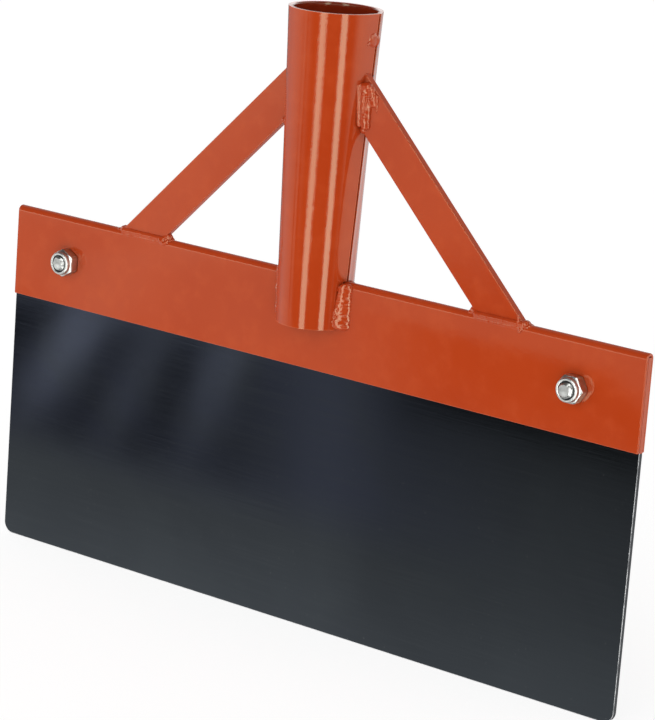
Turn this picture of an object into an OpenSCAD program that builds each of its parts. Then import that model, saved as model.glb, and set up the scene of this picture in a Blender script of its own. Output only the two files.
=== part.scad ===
// Long-handled floor scraper head.
// A wide spring-steel blade is clamped by two bolts in a folded sheet holder.
// A tapered handle socket, slotted at its foot, straddles the holder and is
// welded to it, and two flat-bar braces tie the socket to the holder.
//
// Frame: origin at the middle of the blade's working edge, +Z up the socket
// towards the handle, +X (right) along the blade, -Y is the front, where the nuts are.

/* [Blade] */
// Width of the blade and of its holder
blade_w = 300; // [240:5:400]
// Height of blade that shows below the holder
blade_show = 101.5; // [60:0.5:150]
// Thickness of the blade
blade_t = 2; // [1.5:0.1:3]
// Radius of the blade's two lower corners
corner_r = 4.5; // [1:0.5:12]

/* [Holder] */
// Height of the folded holder
holder_h = 36.5; // [32:0.5:48]
// Thickness of the holder's sheet
sheet_t = 1.2; // [1:0.1:2]
// Distance between the two bolts
bolt_span = 243; // [215:1:250]
// Clearance hole for the bolts
hole_d = 6.6; // [6.2:0.1:7]

/* [Socket] */
// Length of the handle socket
socket_l = 119.5; // [100:0.5:150]
// How far the slotted foot laps over the holder
socket_lap = 18.5; // [10:0.5:28]
// Outside diameter at the mouth
mouth_d = 35.4; // [32:0.1:42]
// Outside diameter at the foot
foot_d = 28.3; // [24:0.1:30]
// Thickness of the rolled sheet
socket_wall = 2; // [1.5:0.1:2.5]
// Sideways offset of the welded socket from the blade's middle
socket_x = 1.2; // [-3:0.1:3]
// Width of the open butt seam down the socket's right side
seam_gap = 0.5; // [0.2:0.1:1]
// Skew of the seam from the socket's axis, in degrees
seam_skew = 1.9; // [0:0.1:3]

/* [Braces] */
// Width of the flat bar
brace_w = 15; // [10:0.5:20]
// Thickness of the flat bar
brace_t = 3; // [2:0.5:4]
// Distance from the socket's axis to the middle of a brace's foot
brace_foot = 85.3; // [75:0.5:100]

/* [Fasteners] */
// Thread diameter of the bolts
bolt_d = 6; // [5.6:0.1:6]
// Nominal length of a bolt under its head
bolt_l = 12; // [11:0.5:20]
// Width across the flats of the nuts and bolt heads
hex_af = 10; // [9:0.5:12]
// Height of a bolt head
head_h = 4; // [3:0.5:5]
// Overall height of a lock nut
nut_h = 6; // [5.5:0.1:7]

/* [Hidden] */
$fn = 96;

// Signs of the sides in X and of the faces in Y
left = -1;
right = 1;
front = -1;
back = 1;

paint = "#b8482a";                       // holder, socket, braces and welds

// Holder
holder_t = blade_t + 2 * sheet_t;        // thickness over both flanges
holder_z = blade_show;                   // lower edge
holder_top = holder_z + holder_h;        // top of the fold
fold_z = holder_top - holder_t / 2;      // centre of the full-round fold
bolt_z = holder_z + holder_h / 2;
blade_top_drop = 0.1;                    // blade's top edge below the fold's centre

// Socket
socket_z = holder_top - socket_lap;      // foot
mouth_z = socket_z + socket_l;
socket_steps = 12;                       // straight steps in the taper
mouth_chamfer = 0.5;
seam_mid = (mouth_z + holder_top) / 2;   // height where the seam is at y = seam_mid_y
seam_mid_y = 1.35;

// Braces, at 45 degrees: an edge is a line (distance from socket's axis) + z = constant
brace_half = brace_w * sqrt(2) / 2;      // half the bar's width, measured along X or Z
brace_in = brace_foot - brace_half;      // inner end of the foot, from the socket's axis
brace_out = brace_foot + brace_half;     // outer end of the foot
brace_low = holder_top + brace_in;       // constant of the lower edge
brace_high = holder_top + brace_out;     // constant of the upper edge
brace_root = 4;                          // bar's end inside the socket, before scribing

// Fasteners
thread_r = bolt_d / 2 - 0.05;
nut_hex_h = nut_h * 0.68;
collar_r = 4.6;
insert_r = 3.95;
insert_h = 1.4;
insert_z = nut_hex_h + 0.1;
nut_mouth_r = 3.6;                       // opening in the collar above the insert

// ---- shared shapes ------------------------------------------------------

// Outside radius of the socket at a height above its foot: a plain taper
// that opens a little faster towards the mouth.
function socket_r(height) = let (u = height / socket_l)
    foot_d / 2 + (mouth_d - foot_d) / 2 * (0.72 * u + 0.28 * u * u * u);

// Distance in X from the socket's axis to its outside, at a given z and y.
function socket_reach(z, y = 0) = sqrt(pow(socket_r(z - socket_z), 2) - pow(y, 2));

// Outside of the socket from foot to mouth: [radius, height above the foot].
socket_outer = [for (i = [0:socket_steps])
    let (height = socket_l * i / socket_steps) [socket_r(height), height]];

// The socket's outer form as a solid, for trimming what meets it.
module socket_solid() {
    translate([socket_x, 0, socket_z])
        rotate_extrude()
            polygon(concat([[0, 0]], socket_outer, [[0, socket_l]]));
}

// Upright plate along X with a full-round top; drop lengthens it downwards.
module folded_plate(length, thickness, drop = 0) {
    translate([-length / 2, 0, 0]) rotate([90, 0, 90]) linear_extrude(height = length) {
        translate([-thickness / 2, holder_z - drop])
            square([thickness, fold_z - holder_z + drop]);
        translate([0, fold_z]) circle(d = thickness);
    }
}

// The holder with no hollow.
module holder_solid() { folded_plate(blade_w, holder_t); }

// Plate of the bar or blade kind: an XZ outline given thickness, centred on y = 0.
module upright(thickness) {
    translate([0, thickness / 2, 0]) rotate([90, 0, 0])
        linear_extrude(height = thickness) children();
}

// ---- blade and holder ---------------------------------------------------

module bolt_holes() {
    length = 40;
    for (side = [left, right])
        translate([side * bolt_span / 2, length / 2, bolt_z])
            rotate([90, 0, 0]) cylinder(d = hole_d, h = length);
}

// Flat plate with two round lower corners; its top edge rests in the fold.
module blade() {
    corner_x = blade_w / 2 - corner_r;
    color("#20262e")
    difference() {
        upright(blade_t)
            union() {
                translate([-blade_w / 2, corner_r])
                    square([blade_w, fold_z - blade_top_drop - corner_r]);
                translate([-corner_x, 0]) square([2 * corner_x, corner_r * 2]);
                for (side = [left, right])
                    translate([side * corner_x, corner_r]) circle(r = corner_r);
            }
        bolt_holes();
    }
}

// Sheet folded over the blade's top, open below.
module blade_holder() {
    color(paint)
    difference() {
        holder_solid();
        folded_plate(blade_w + 2, blade_t, drop = 1);
        bolt_holes();
    }
}

// ---- handle socket ------------------------------------------------------

// Slot in the socket's foot that the holder slides up into.
module foot_slot() {
    length = 60;
    x = socket_x - length / 2;
    translate([x, -holder_t / 2, socket_z - 1])
        cube([length, holder_t, fold_z - socket_z + 1]);
    translate([x, 0, fold_z]) rotate([0, 90, 0]) cylinder(d = holder_t, h = length);
}

// Skewed slit through the right wall only.
module seam_cut() {
    start_x = 8;    // inside the bore
    depth = 20;
    translate([socket_x + start_x, seam_mid_y, seam_mid]) rotate([-seam_skew, 0, 0])
        translate([0, -seam_gap / 2, -socket_l]) cube([depth, seam_gap, 2 * socket_l]);
}

// Tapered tube with both edges of its mouth chamfered.
module handle_socket() {
    mouth_r = mouth_d / 2;
    bore_r = mouth_r - socket_wall;
    chamfer_z = socket_l - mouth_chamfer;
    color(paint)
    difference() {
        translate([socket_x, 0, socket_z])
            rotate_extrude()
                polygon(concat(
                    [for (i = [0:socket_steps - 1]) socket_outer[i]],
                    [[socket_r(chamfer_z), chamfer_z],
                     [mouth_r - mouth_chamfer, socket_l],
                     [bore_r + mouth_chamfer, socket_l],
                     [bore_r, chamfer_z]],
                    [for (i = [socket_steps - 1:-1:0]) socket_outer[i] - [socket_wall, 0]]));
        foot_slot();
        seam_cut();
    }
}

// ---- braces -------------------------------------------------------------

// Flat bar at 45 degrees, cut level at its foot and scribed to the socket.
module brace(side) {
    color(paint)
    difference() {
        translate([socket_x, 0, 0]) mirror([side < 0 ? 1 : 0, 0, 0])
            upright(brace_t)
                polygon([[brace_in, holder_top], [brace_out, holder_top],
                         [brace_root, brace_high - brace_root],
                         [brace_root, brace_low - brace_root]]);
        socket_solid();
    }
}
module brace_left() { brace(left); }
module brace_right() { brace(right); }

// ---- fasteners ----------------------------------------------------------

// Hexagon standing on z = 0, its corners chamfered at the top, or at both ends.
module hex_block(height, both = false) {
    hex_r = hex_af / sqrt(3);   // to the corners
    clear_r = hex_r + 0.5;      // beyond the corners
    top_chamfer = 0.55;
    base_chamfer = 0.75;
    intersection() {
        cylinder(r = hex_r, h = height, $fn = 6);
        rotate_extrude()
            polygon([[0, 0], [both ? hex_r - 0.9 : clear_r, 0],
                     [clear_r, both ? base_chamfer : 0],
                     [clear_r, height - top_chamfer],
                     [hex_af / 2 - 0.1, height], [0, height]]);
    }
}

// Places a part on a bolt's axis, on the front or back of the holder.
module at_bolt(side, face) {
    translate([side * bolt_span / 2, face * holder_t / 2, bolt_z]) children();
}

// Hexagon-head bolt put in from the back, its end chamfered.
// short is taken off its nominal length; turn is the angle of its head.
module bolt(side, short, turn) {
    chamfer = 0.7;
    root = -0.5;    // shank starts inside the head
    length = bolt_l - short;
    color("#b9bdc0")
    at_bolt(side, back) {
        rotate([-90, 0, 0]) rotate([0, 0, turn]) hex_block(head_h);
        rotate([90, 0, 0]) rotate_extrude()
            polygon([[0, root], [thread_r, root], [thread_r, length - chamfer],
                     [thread_r - chamfer, length], [0, length]]);
    }
}
module bolt_left() { bolt(left, short = 0.9, turn = 12); }
module bolt_right() { bolt(right, short = 0.3, turn = 41); }

// Lock nut: hexagon with a rolled collar that holds a nylon insert.
module nut(side, turn) {
    color("#c9cccd")
    at_bolt(side, front) rotate([90, 0, 0]) rotate([0, 0, turn])
        difference() {
            union() {
                hex_block(nut_hex_h, both = true);
                rotate_extrude()
                    polygon([[0, 1], [collar_r, 1], [collar_r, nut_h - 0.9],
                             [collar_r - 0.25, nut_h - 0.3],
                             [collar_r - 0.75, nut_h], [0, nut_h]]);
            }
            translate([0, 0, -1]) cylinder(d = bolt_d, h = nut_h + 2);
            translate([0, 0, insert_z]) cylinder(r = insert_r, h = insert_h + 0.1);
            translate([0, 0, insert_z + insert_h]) cylinder(r = nut_mouth_r, h = nut_h);
        }
}
module nut_left() { nut(left, turn = 0); }
module nut_right() { nut(right, turn = 30); }

// Nylon ring seated in the nut's collar, round the thread.
module nut_insert(side) {
    color("#23262a")
    at_bolt(side, front) rotate([90, 0, 0])
        difference() {
            translate([0, 0, insert_z]) cylinder(r = insert_r, h = insert_h);
            cylinder(r = thread_r + 0.02, h = nut_h + 1);
        }
}
module nut_insert_left() { nut_insert(left); }
module nut_insert_right() { nut_insert(right); }

// ---- weld beads ---------------------------------------------------------

// Straight bead between two points, with bevelled ends that run past them.
module bead(ends, radius) {
    run = ends[1] - ends[0];
    length = norm(run);
    translate(ends[0]) rotate([0, acos(run.z / length), atan2(run.y, run.x)])
        rotate_extrude()
            polygon([[0, -0.8 * radius], [0.55 * radius, -0.8 * radius],
                     [radius, -0.1 * radius], [radius, length + 0.1 * radius],
                     [0.55 * radius, length + 0.8 * radius], [0, length + 0.8 * radius]]);
}

// Block over the other face, which keeps a bead to its own side of y = 0.
module other_face(face, width, height) {
    depth = 20;
    translate([-width / 2, face > 0 ? -depth : 0, 100]) cube([width, depth, height]);
}

// Upright bead in the corner between the socket's foot and a flange.
module weld_holder(side, face, radius) {
    ends = [for (z = [socket_z + radius * 0.5, holder_top - 1.2])
        [socket_x + side * (socket_reach(z, holder_t / 2) + 0.2),
         face * (holder_t / 2 + 0.15), z]];
    color(paint)
    difference() {
        bead(ends, radius);
        socket_solid();
        holder_solid();
    }
}
module weld_holder_front_left() { weld_holder(left, front, 2.2); }
module weld_holder_front_right() { weld_holder(right, front, 2.8); }
module weld_holder_back_left() { weld_holder(left, back, 2.4); }
module weld_holder_back_right() { weld_holder(right, back, 2.5); }

// Height where a brace's edge meets the socket. near_r is a rough socket
// radius there, used to pick the height at which the real one is taken.
function brace_meet(edge, near_r) = edge - socket_reach(edge - near_r);

// Bead down the corner between the socket's side and a brace.
module weld_socket_brace(side, face, radius) {
    ends = [for (z = [brace_meet(brace_low, 16) - 0.2, brace_meet(brace_high, 17) - 1.6])
        [socket_x + side * (socket_reach(z) + 0.1), face * (brace_t / 2 + 0.1), z]];
    color(paint)
    difference() {
        bead(ends, radius);
        socket_solid();
        brace(side);
        other_face(face, width = 100, height = 200);
    }
}
module weld_socket_brace_front_left() { weld_socket_brace(left, front, 2.0); }
module weld_socket_brace_front_right() { weld_socket_brace(right, front, 2.8); }
module weld_socket_brace_back_left() { weld_socket_brace(left, back, 2.4); }
module weld_socket_brace_back_right() { weld_socket_brace(right, back, 2.4); }

// Bead along the foot of a brace, on top of the holder's fold.
module weld_foot(side, face, radius) {
    ends = [for (reach = [brace_in + 0.6, brace_out - 0.2])
        [socket_x + side * reach, face * (brace_t / 2 - 0.1), holder_top - 0.3]];
    color(paint)
    difference() {
        bead(ends, radius);
        holder_solid();
        brace(side);
        other_face(face, width = 400, height = 80);
    }
}
module weld_foot_front_left() { weld_foot(left, front, 2.1); }
module weld_foot_front_right() { weld_foot(right, front, 2.2); }
module weld_foot_back_left() { weld_foot(left, back, 2.1); }
module weld_foot_back_right() { weld_foot(right, back, 2.1); }

// Short tack that closes the seam a little below the mouth.
module weld_seam_tack() {
    ends = [for (z = [mouth_z - 12.5, mouth_z - 9])
        let (y = seam_mid_y + (z - seam_mid) * tan(seam_skew))
        [socket_x + socket_reach(z, y) - 0.2, y, z]];
    color(paint)
    difference() {
        bead(ends, 1.7);
        socket_solid();
    }
}

blade();
blade_holder();
handle_socket();
brace_left();
brace_right();
bolt_left();
bolt_right();
nut_left();
nut_right();
nut_insert_left();
nut_insert_right();
weld_holder_front_left();
weld_holder_front_right();
weld_holder_back_left();
weld_holder_back_right();
weld_socket_brace_front_left();
weld_socket_brace_front_right();
weld_socket_brace_back_left();
weld_socket_brace_back_right();
weld_foot_front_left();
weld_foot_front_right();
weld_foot_back_left();
weld_foot_back_right();
weld_seam_tack();
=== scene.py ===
"""A blade gripped in a folded sheet holder, under an upright handle socket with two braces.

The blade lies along X with its lower edge at z = 0 and its thickness along Y. The front is -Y,
left is -X, and the socket opens upwards. Two bolts run through blade and holder along Y, their
nuts at the front. Shapes are worked out in millimetres and brought to metres as meshes.
"""

import math
import random
from contextlib import contextmanager

import bmesh
import bpy
import numpy as np
from mathutils import Matrix, Vector, noise


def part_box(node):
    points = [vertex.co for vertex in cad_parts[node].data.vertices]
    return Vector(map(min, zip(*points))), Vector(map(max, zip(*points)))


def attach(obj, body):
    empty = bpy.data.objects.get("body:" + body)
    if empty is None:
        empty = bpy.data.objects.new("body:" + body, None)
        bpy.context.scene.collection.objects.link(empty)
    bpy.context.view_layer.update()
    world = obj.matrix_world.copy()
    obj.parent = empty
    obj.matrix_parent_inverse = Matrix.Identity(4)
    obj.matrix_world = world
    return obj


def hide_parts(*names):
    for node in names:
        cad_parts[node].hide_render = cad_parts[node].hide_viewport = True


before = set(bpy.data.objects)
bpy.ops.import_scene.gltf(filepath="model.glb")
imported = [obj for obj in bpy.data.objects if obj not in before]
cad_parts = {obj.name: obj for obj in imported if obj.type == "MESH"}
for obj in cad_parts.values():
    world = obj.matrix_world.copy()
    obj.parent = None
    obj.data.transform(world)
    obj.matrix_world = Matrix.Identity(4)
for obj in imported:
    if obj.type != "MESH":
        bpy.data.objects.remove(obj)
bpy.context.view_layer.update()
scene = bpy.context.scene
MM = 0.001
SIDES = (("left", -1), ("right", 1))
# (face, side, name): face is the sign of y, side the sign of x
CORNERS = [(face, side, f"{face_name}_{side_name}")
           for face_name, face in (("front", -1), ("back", 1)) for side_name, side in SIDES]


# ---------------------------------------------------------------- sizes and places, mm
def cad_box(node):
    low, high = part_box(node)
    return np.array(low) / MM, np.array(high) / MM


blade_lo, blade_hi = cad_box("blade")
holder_lo, holder_hi = cad_box("blade_holder")
socket_lo, socket_hi = cad_box("handle_socket")
nut_lo, nut_hi = cad_box("nut_left")
bolt_lo, bolt_hi = cad_box("bolt_left")

BLADE_T = blade_hi[1] - blade_lo[1]
BLADE_CORNER_R = 4.5
HOLDER_T = holder_hi[1] - holder_lo[1]
HALF_T = HOLDER_T / 2
HOLDER_Z0, HOLDER_Z1 = holder_lo[2], holder_hi[2]
FOLD_Z = HOLDER_Z1 - HALF_T

SOCKET_X = (socket_lo[0] + socket_hi[0]) / 2
SOCKET_Z0, SOCKET_Z1 = socket_lo[2], socket_hi[2]
MOUTH_R = 17.7
FOOT_R = 14.15
WALL = 2.0
SEAM_MID_Z = (SOCKET_Z1 + HOLDER_Z1) / 2
SEAM_MID_Y = 1.35
SEAM_LEAN = math.tan(math.radians(1.9))

BOLT_X = abs((bolt_hi[0] + bolt_lo[0]) / 2)
BOLT_Z = (HOLDER_Z0 + HOLDER_Z1) / 2
BOLT_R = 2.95
HOLE_R = 3.3
FLATS = 10.0                              # across the flats of nut and bolt head
NUT_H = nut_hi[1] - nut_lo[1]
NUT_HEX_H = NUT_H * 0.68                  # the rest is the collar round the nylon
CHAMFER = math.tan(math.radians(30))

# The braces slope at 45 degrees: along an edge, distance from the socket axis + z is constant.
BRACE_T = cad_box("brace_right")[1][1] * 2
BRACE_MID = 223.3
BRACE_HALF = 15 * math.sqrt(2) / 2        # half a 15 mm bar, cut level
BRACE_LOW, BRACE_HIGH = BRACE_MID - BRACE_HALF, BRACE_MID + BRACE_HALF
FOOT_IN, FOOT_OUT = BRACE_LOW - HOLDER_Z1, BRACE_HIGH - HOLDER_Z1


def socket_r(z):
    """Outer radius of the socket, flaring towards the mouth."""
    u = (z - SOCKET_Z0) / (SOCKET_Z1 - SOCKET_Z0)
    return FOOT_R + (MOUTH_R - FOOT_R) * (0.72 * u + 0.28 * u ** 3)


LOW_R, HIGH_R = socket_r(197), socket_r(217)     # about where the brace edges meet the socket


def seam_y(z):
    """The open seam runs up the right side, leaning a little."""
    return SEAM_MID_Y + (z - SEAM_MID_Z) * SEAM_LEAN


# ---------------------------------------------------------------- mesh helpers
def add_object(name, mesh):
    obj = bpy.data.objects.new(name, mesh)
    scene.collection.objects.link(obj)
    return obj


def mesh_object(name, points, faces):
    mesh = bpy.data.meshes.new(name)
    mesh.from_pydata([tuple(float(c) * MM for c in p) for p in points], [], faces)
    mesh.validate()
    return add_object(name, mesh)


@contextmanager
def cleaning(obj):
    """Edit the mesh, then turn its faces outwards."""
    bm = bmesh.new()
    bm.from_mesh(obj.data)
    yield bm
    bmesh.ops.recalc_face_normals(bm, faces=bm.faces)
    bm.to_mesh(obj.data)
    bm.free()


def merge_doubles(obj):
    with cleaning(obj) as bm:
        bmesh.ops.remove_doubles(bm, verts=bm.verts, dist=1e-7)


def apply_modifiers(obj):
    bpy.context.view_layer.update()
    depsgraph = bpy.context.evaluated_depsgraph_get()
    mesh = bpy.data.meshes.new_from_object(obj.evaluated_get(depsgraph), depsgraph=depsgraph)
    obj.modifiers.clear()
    old = obj.data
    obj.data = mesh
    if old.users == 0:
        bpy.data.meshes.remove(old)


def shade_smooth(obj):
    obj.data.polygons.foreach_set("use_smooth", [True] * len(obj.data.polygons))


def soften(obj, angle):
    shade_smooth(obj)
    obj.data.set_sharp_from_angle(angle=math.radians(angle))


def bevel(obj, width, segments, angle):
    shade_smooth(obj)
    mod = obj.modifiers.new("round", "BEVEL")
    mod.harden_normals = True
    mod.width = width * MM
    mod.segments = segments
    mod.limit_method = "ANGLE"
    mod.angle_limit = math.radians(angle)
    mod.use_clamp_overlap = True
    mod.miter_outer = "MITER_ARC"
    apply_modifiers(obj)


def prism(name, outline, axis, start, end):
    """Closed prism: the outline is (y, z) swept along x, or (x, z) swept along y."""
    n = len(outline)
    if axis == "x":
        points = [(at, p, z) for at in (start, end) for p, z in outline]
    else:
        points = [(p, at, z) for at in (start, end) for p, z in outline]
    faces = [tuple(range(n))[::-1], tuple(range(n, 2 * n))]
    faces += [(i, (i + 1) % n, n + (i + 1) % n, n + i) for i in range(n)]
    obj = mesh_object(name, points, faces)
    merge_doubles(obj)
    return obj


def arc(x, z, radius, start, end, steps):
    angles = [math.radians(start + (end - start) * k / steps) for k in range(steps + 1)]
    return [(x + radius * math.cos(a), z + radius * math.sin(a)) for a in angles]


def cut_bolt_holes(obj, reach):
    """Bore both bolt holes, the cutter reaching this far either side of y = 0."""
    n = 48
    for side in (-1, 1):
        angles = [2 * math.pi * k / n for k in range(n)]
        circle = [(side * BOLT_X + HOLE_R * math.cos(a), BOLT_Z + HOLE_R * math.sin(a))
                  for a in angles]
        cutter = prism("cutter", circle, "y", -reach, reach)
        mod = obj.modifiers.new("cut", "BOOLEAN")
        mod.operation = "DIFFERENCE"
        mod.solver = "EXACT"
        mod.object = cutter
        apply_modifiers(obj)
        bpy.data.objects.remove(cutter)


def place(obj, node, slot, *materials):
    """Give the piece its materials, hang it under the root body and hide the CAD node it stands
    for.
    """
    obj.data.materials.clear()
    for material in materials:
        obj.data.materials.append(material)
    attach(obj, "root")
    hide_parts(node)


# ---------------------------------------------------------------- shader helpers
def operators(kind):
    """The Math node for "value op other", and for "other op value"."""
    return (lambda a, b: a.tree.math(kind, a, b)), (lambda a, b: a.tree.math(kind, b, a))


class Value:
    """A node's output; arithmetic on it adds Math nodes."""
    __add__, __radd__ = operators("ADD")
    __sub__, __rsub__ = operators("SUBTRACT")
    __mul__, __rmul__ = operators("MULTIPLY")
    __truediv__, __rtruediv__ = operators("DIVIDE")
    __mod__, __rmod__ = operators("MODULO")

    def __init__(self, tree, socket):
        self.tree = tree
        self.socket = socket


class Tree:
    """The emptied node tree of a material or world, with short ways to add nodes."""

    def __init__(self, owner):
        owner.use_nodes = True
        self.nodes = owner.node_tree.nodes
        self.links = owner.node_tree.links
        self.nodes.clear()

    def put(self, socket, value):
        if isinstance(value, Value):
            self.links.new(value.socket, socket)
        elif socket.type == "RGBA":
            socket.default_value = (*value, 1)
        else:
            socket.default_value = value

    def new(self, kind, inputs=None, **settings):
        node = self.nodes.new(kind)
        node.location.x = 180 * len(self.nodes)
        for key, setting in settings.items():
            setattr(node, key, setting)
        for key, value in (inputs or {}).items():
            self.put(node.inputs[key], value)
        return node

    def value(self, kind, inputs=None, output=0, **settings):
        return Value(self, self.new(kind, inputs, **settings).outputs[output])

    def split(self, vector):
        node = self.new("ShaderNodeSeparateXYZ", {0: vector})
        return [Value(self, out) for out in node.outputs]

    def math(self, kind, a, b=0.0, clamp=False):
        return self.value("ShaderNodeMath", {0: a, 1: b, 2: 0.0}, operation=kind,
                          use_clamp=clamp)

    def rise(self, value, start, end):
        """0 below start, 1 above end, smooth between."""
        return self.value("ShaderNodeMapRange", {0: value, 1: start, 2: end, 3: 0, 4: 1},
                          interpolation_type="SMOOTHSTEP")

    def fall(self, value, start, end):
        return 1 - self.rise(value, start, end)

    def ramp(self, value, points):
        """Straight lines through (value, result) points."""
        low, high = points[0][0], points[-1][0]
        top = max(y for x, y in points)
        part = self.value("ShaderNodeMapRange", {0: value, 1: low, 2: high})
        node = self.new("ShaderNodeValToRGB", {0: part})
        elements = node.color_ramp.elements
        while len(elements) < len(points):
            elements.new(0.5)
        for k, (x, y) in enumerate(points):
            elements[k].position = (x - low) / (high - low)
            elements[k].color = (y / top, y / top, y / top, 1)
        colour = Value(self, node.outputs[0])
        return self.value("ShaderNodeSeparateColor", {0: colour}) * top

    def mix(self, factor, a, b, blend="MIX"):
        return self.value("ShaderNodeMix", {0: factor, 6: a, 7: b}, 2, data_type="RGBA",
                          blend_type=blend)

    def tint(self, colour, over, mask, amount, clamp=False):
        """Lay a colour over another where the mask is high."""
        return self.mix(self.math("MULTIPLY", mask, amount, clamp), colour, over)

    def stretch(self, vector, scale):
        return self.value("ShaderNodeMapping", {0: vector, 3: scale})

    def noise(self, vector, scale, detail, rough=0.5, distortion=0.0):
        return self.value("ShaderNodeTexNoise", {
            "Vector": vector, "Scale": scale, "Detail": detail, "Roughness": rough,
            "Distortion": distortion})

    def bump(self, height, distance, strength=1.0, normal=None):
        inputs = {"Strength": strength, "Distance": distance, "Height": height}
        if normal is not None:
            inputs["Normal"] = normal
        return self.value("ShaderNodeBump", inputs)

    def tint_edges(self, colour, over, amount, radius, start, end):
        """Tint edges and corners, where the rounded normal leaves the true one."""
        rounded = self.value("ShaderNodeBevel", {"Radius": radius}, samples=6)
        normal = self.value("ShaderNodeNewGeometry", output="Normal")
        dot = self.value("ShaderNodeVectorMath", {0: rounded, 1: normal}, "Value",
                         operation="DOT_PRODUCT")
        return self.tint(colour, over, self.rise(1 - dot, start, end), amount)

    # painted shade: a darker colour laid where ambient occlusion finds crevices
    def painted_crevice_shade(self, colour, over, amount, distance):
        openness = self.value("ShaderNodeAmbientOcclusion", {"Distance": distance}, "AO",
                              samples=6, only_local=False)
        return self.tint(colour, over, 1 - openness, amount, clamp=True)

    def principled(self, colour, roughness, normal, **others):
        inputs = {"Base Color": colour, "Roughness": roughness, "Normal": normal}
        inputs.update((key.replace("_", " "), value) for key, value in others.items())
        shader = self.value("ShaderNodeBsdfPrincipled", inputs)
        self.new("ShaderNodeOutputMaterial", {0: shader})


def start_material(name):
    material = bpy.data.materials.new(name)
    tree = Tree(material)
    return material, tree, tree.value("ShaderNodeTexCoord", output="Object")


def scaled(colour, factor):
    return tuple(c * factor for c in colour)


def srgb(*levels):
    """Linear colour from 0-255 levels."""
    return tuple(c / 255 / 12.92 if c <= 10.3 else ((c / 255 + 0.055) / 1.055) ** 2.4
                 for c in levels)


# ---------------------------------------------------------------- materials
def make_paint(name, base, dark, light, peel=1.0, wave=1.0, shade=0.75, ior=1.5):
    """Gloss enamel: pooled colour, orange peel, slight sag, a painted highlight on the edges.

    peel and wave scale the fine and the broad relief, shade sets the strength of the painted
    shade in the crevices.
    """
    material, tree, pos = start_material(name)
    pools = tree.noise(pos, scale=22, detail=2)
    sag = tree.noise(pos, scale=140, detail=3, rough=0.55)
    fine = tree.noise(pos, scale=620, detail=2)
    grit = tree.noise(pos, scale=2600, detail=1)
    colour = tree.mix(tree.rise(pools, start=0.3, end=0.7), dark, base)
    colour = tree.tint(colour, light, tree.rise(sag, start=0.45, end=0.75), amount=0.35)
    colour = tree.tint(colour, dark, tree.rise(grit, start=0.62, end=0.8), amount=0.12)
    # painted highlight: edges and corners lightened towards pale orange, where the gloss would
    # catch the light
    colour = tree.tint_edges(colour, srgb(222, 124, 86), amount=0.50, radius=0.0006,
                             start=0.004, end=0.12)
    # painted shade: crevices darkened towards a deep red
    colour = tree.painted_crevice_shade(colour, scaled(dark, 0.55), amount=shade, distance=0.004)
    # glossy, a little duller on the sags and on the grit
    roughness = 0.04 + sag * 0.07
    roughness = roughness + tree.rise(grit, start=0.6, end=0.8) * 0.05
    normal = tree.bump(sag, distance=0.000010 * wave)
    normal = tree.bump(fine, distance=0.000007 * peel, normal=normal)
    normal = tree.bump(grit, distance=0.0000022 * peel, normal=normal)
    tree.principled(colour, roughness, normal, IOR=ior, Specular_Tint=(0.86, 0.98, 0.70))
    return material


def make_blade_steel():
    """Blue-black strip: grain along the blade, faint temper colours, light scuffs."""
    material, tree, pos = start_material("blued_steel")
    grain = tree.noise(tree.stretch(pos, (25, 1, 1800)), scale=1.0, detail=3, rough=0.65)
    fine_grain = tree.noise(tree.stretch(pos, (40, 1, 4200)), scale=1.0, detail=2, rough=0.6)
    cloud = tree.noise(pos, scale=14, detail=3, distortion=0.6)
    temper = tree.noise(pos, scale=9, detail=2, distortion=1.2)
    x, _, z = tree.split(pos)
    # the temper colour lies high on the blade, fading to the right
    belt = tree.rise(z, start=0.030, end=0.060) * tree.fall(x, start=0.02, end=0.12)
    colour = tree.mix(tree.rise(cloud, start=0.3, end=0.7),
                      (0.041, 0.047, 0.054), (0.046, 0.053, 0.060))
    colour = tree.tint(colour, (0.040, 0.046, 0.068),
                       tree.rise(temper, start=0.12, end=0.50) * belt, amount=0.85)
    colour = tree.tint(colour, (0.060, 0.067, 0.074),
                       tree.rise(grain, start=0.45, end=0.75), amount=0.28)
    colour = tree.tint(colour, (0.031, 0.036, 0.042),
                       tree.rise(fine_grain, start=0.50, end=0.80), amount=0.24)
    spots = tree.noise(pos, scale=900, detail=1, rough=0.4)
    colour = tree.tint(colour, (0.12, 0.125, 0.13),
                       tree.rise(spots, start=0.74, end=0.80), amount=0.5)
    colour = tree.tint_edges(colour, (0.30, 0.31, 0.32), amount=0.8, radius=0.0004,
                             start=0.02, end=0.2)
    normal = tree.bump(grain, distance=0.0000030)
    waves = tree.noise(pos, scale=30, detail=1)
    normal = tree.bump(waves, distance=0.000025, normal=normal)
    tree.principled(colour, 0.02 + grain * 0.05, normal, Metallic=1.0)
    return material


def make_sheared_edge():
    """Edge of the blade: darker, with fine upright shear marks and a bright arris."""
    material, tree, pos = start_material("sheared_edge")
    marks = tree.noise(tree.stretch(pos, (900, 900, 60)), scale=1.0, detail=3, rough=0.6)
    patches = tree.noise(pos, scale=160, detail=2)
    colour = tree.mix(marks, (0.022, 0.024, 0.028), (0.060, 0.063, 0.068))
    colour = tree.tint(colour, (0.05, 0.05, 0.052),
                       tree.rise(patches, start=0.55, end=0.8), amount=0.5)
    colour = tree.tint_edges(colour, (0.42, 0.43, 0.44), amount=0.8, radius=0.00035,
                             start=0.02, end=0.2)
    normal = tree.bump(marks, distance=0.00005, strength=0.35)
    tree.principled(colour, 0.33 + marks * 0.2, normal, Metallic=1.0)
    return material


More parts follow.
